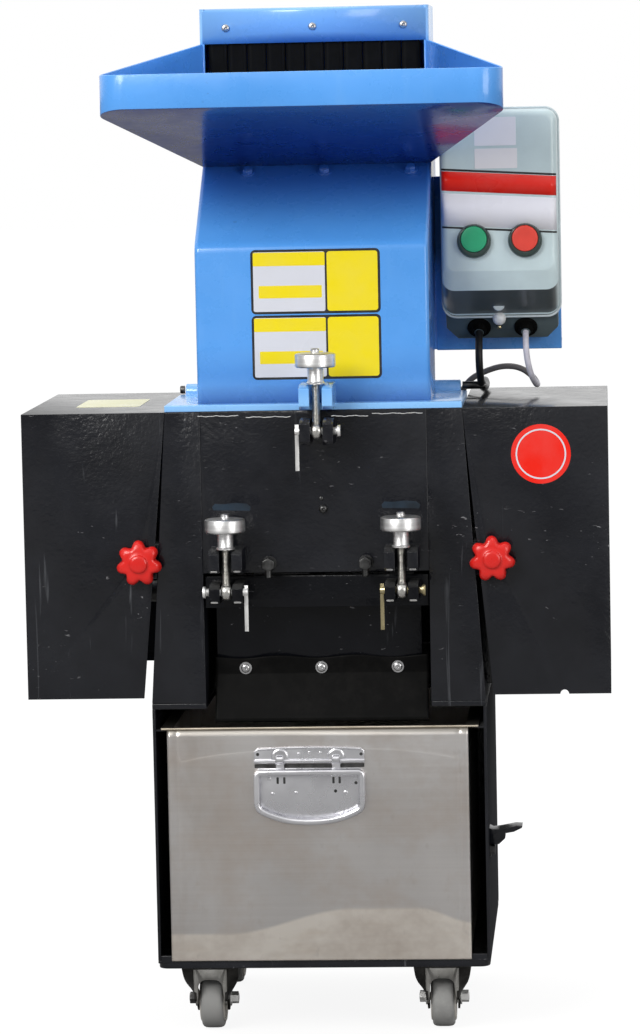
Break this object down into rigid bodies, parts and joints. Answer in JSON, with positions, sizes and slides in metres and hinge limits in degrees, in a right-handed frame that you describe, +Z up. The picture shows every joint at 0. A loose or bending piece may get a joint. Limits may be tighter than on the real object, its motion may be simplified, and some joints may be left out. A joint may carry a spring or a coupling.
{
  "type": "small plastic granulator on casters",
  "caption": "Upright plastic shredder: flared feed hopper on a crushing body held by swing bolts, side guards, starter box, rear motor, and a granule drawer in a cabinet on casters.",
  "frame": {"origin": "bottom centre of the whole machine, on the floor under the wheels", "axes": "+Z up, -Y to the front where the tray and drawer are, +X to the right as seen from the front"},
  "size_m": [0.611, 0.458, 1.083],
  "materials": {
    "black_paint": "glossy, orange peel",
    "blue_paint": "glossy",
    "bright_sheet": "brushed",
    "plated_steel": "bright zinc plate",
    "turned_steel": "turned",
    "tool_steel": "ground",
    "dark_steel": "machined and oiled",
    "red_plastic": "moulded",
    "green_plastic": "moulded",
    "grey_plastic": "moulded, fine grain",
    "dark_grey_plastic": "moulded",
    "black_rubber": "smooth",
    "grey_rubber": "worn tread",
    "motor_paint": "semi-gloss",
    "grey_sheath": "smooth",
    "black_sheath": "smooth"
  },
  "bodies": {
    "frame": {"cabinet_floor": "black_paint", "cabinet_left": "black_paint", "cabinet_right": "black_paint", "cabinet_back": "black_paint", "cabinet_top": "black_paint", "left_cheek": "black_paint", "right_cheek": "black_paint", "front_plate": "black_paint", "rear_plate": "black_paint", "screen_cradle": "black_paint", "screen": "tool_steel", "apron": "black_rubber", "left_pin": "plated_steel", "right_pin": "plated_steel", "top_pin": "plated_steel", "hopper_flange": "blue_paint", "hopper_front": "blue_paint", "hopper_back": "blue_paint", "hopper_left": "blue_paint", "hopper_right": "blue_paint", "hopper_lid": "blue_paint", "mouth_band": "blue_paint", "feed_tray": "blue_paint", "left_guard": "black_paint", "right_guard": "black_paint", "left_knob": "red_plastic", "right_knob": "red_plastic", "starter_plate": "blue_paint", "starter_base": "dark_grey_plastic", "starter_cover": "grey_plastic", "black_lead": "black_sheath", "grey_lead": "grey_sheath", "motor": "motor_paint", "belt": "black_rubber", "side_lever": "black_paint"},
    "drawer": {"drawer_tray": "bright_sheet", "handle_plate": "plated_steel"},
    "bail": {"handle_bail": "plated_steel"},
    "left_swing_bolt": {"left_bolt": "plated_steel", "left_nut": "turned_steel"},
    "right_swing_bolt": {"right_bolt": "plated_steel", "right_nut": "turned_steel"},
    "top_swing_bolt": {"top_bolt": "plated_steel", "top_nut": "turned_steel"},
    "start": {"start_button": "green_plastic"},
    "stop": {"stop_button": "red_plastic"},
    "mouth_curtain": {"curtain": "black_rubber"},
    "rotor_set": {"rotor": "tool_steel", "rotor_pulley": "dark_steel", "flywheel": "dark_steel"},
    "motor_wheel": {"motor_pulley": "dark_steel"},
    "caster_front_left": {"fork_front_left": "plated_steel"},
    "roller_front_left": {"wheel_front_left": "grey_rubber"},
    "caster_front_right": {"fork_front_right": "plated_steel"},
    "roller_front_right": {"wheel_front_right": "grey_rubber"},
    "caster_rear_left": {"fork_rear_left": "plated_steel"},
    "roller_rear_left": {"wheel_rear_left": "grey_rubber"},
    "caster_rear_right": {"fork_rear_right": "plated_steel"},
    "roller_rear_right": {"wheel_rear_right": "grey_rubber"}
  },
  "joints": [
    {"name": "drawer_slide", "type": "slide", "parent": "frame", "child": "drawer", "axis": [0, -1, 0], "range_m": [0, 0.3]},
    {"name": "bail_swing", "type": "hinge", "parent": "drawer", "child": "bail", "pos_m": [-0.009, -0.1265, 0.2883], "axis": [-1, 0, 0], "range_deg": [0, 95]},
    {"name": "left_bolt_swing", "type": "hinge", "parent": "frame", "child": "left_swing_bolt", "pos_m": [-0.091, -0.157, 0.479], "axis": [1, 0, 0], "range_deg": [0, 115]},
    {"name": "right_bolt_swing", "type": "hinge", "parent": "frame", "child": "right_swing_bolt", "pos_m": [0.091, -0.157, 0.479], "axis": [1, 0, 0], "range_deg": [0, 115]},
    {"name": "top_bolt_swing", "type": "hinge", "parent": "frame", "child": "top_swing_bolt", "pos_m": [0.006, -0.157, 0.645], "axis": [1, 0, 0], "range_deg": [0, 115]},
    {"name": "start_push", "type": "slide", "parent": "frame", "child": "start", "axis": [0, 1, 0], "range_m": [0, 0.004], "stiffness_N_per_m": 600},
    {"name": "stop_push", "type": "slide", "parent": "frame", "child": "stop", "axis": [0, 1, 0], "range_m": [0, 0.004], "stiffness_N_per_m": 600},
    {"name": "curtain_swing", "type": "hinge", "parent": "frame", "child": "mouth_curtain", "pos_m": [0, 0.0183, 1.054], "axis": [1, 0, 0], "range_deg": [0, 55]},
    {"name": "rotor_spin", "type": "hinge", "parent": "frame", "child": "rotor_set", "pos_m": [0, -0.036, 0.525], "axis": [1, 0, 0], "continuous": true},
    {"name": "motor_spin", "type": "hinge", "parent": "frame", "child": "motor_wheel", "pos_m": [0, 0.141, 0.448], "axis": [1, 0, 0], "continuous": true},
    {"name": "swivel_front_left", "type": "hinge", "parent": "frame", "child": "caster_front_left", "pos_m": [-0.123, -0.076, 0.075], "axis": [0, 0, 1], "continuous": true},
    {"name": "roll_front_left", "type": "hinge", "parent": "caster_front_left", "child": "roller_front_left", "pos_m": [-0.123, -0.056, 0.032], "axis": [1, 0, 0], "continuous": true},
    {"name": "swivel_front_right", "type": "hinge", "parent": "frame", "child": "caster_front_right", "pos_m": [0.123, -0.076, 0.075], "axis": [0, 0, 1], "continuous": true},
    {"name": "roll_front_right", "type": "hinge", "parent": "caster_front_right", "child": "roller_front_right", "pos_m": [0.123, -0.056, 0.032], "axis": [1, 0, 0], "continuous": true},
    {"name": "swivel_rear_left", "type": "hinge", "parent": "frame", "child": "caster_rear_left", "pos_m": [-0.123, 0.164, 0.075], "axis": [0, 0, 1], "continuous": true},
    {"name": "roll_rear_left", "type": "hinge", "parent": "caster_rear_left", "child": "roller_rear_left", "pos_m": [-0.123, 0.184, 0.032], "axis": [1, 0, 0], "continuous": true},
    {"name": "swivel_rear_right", "type": "hinge", "parent": "frame", "child": "caster_rear_right", "pos_m": [0.123, 0.164, 0.075], "axis": [0, 0, 1], "continuous": true},
    {"name": "roll_rear_right", "type": "hinge", "parent": "caster_rear_right", "child": "roller_rear_right", "pos_m": [0.123, 0.184, 0.032], "axis": [1, 0, 0], "continuous": true}
  ],
  "couplings": [
    {"joint": "motor_spin", "follows": "rotor_spin", "ratio": 1.9444}
  ]
}
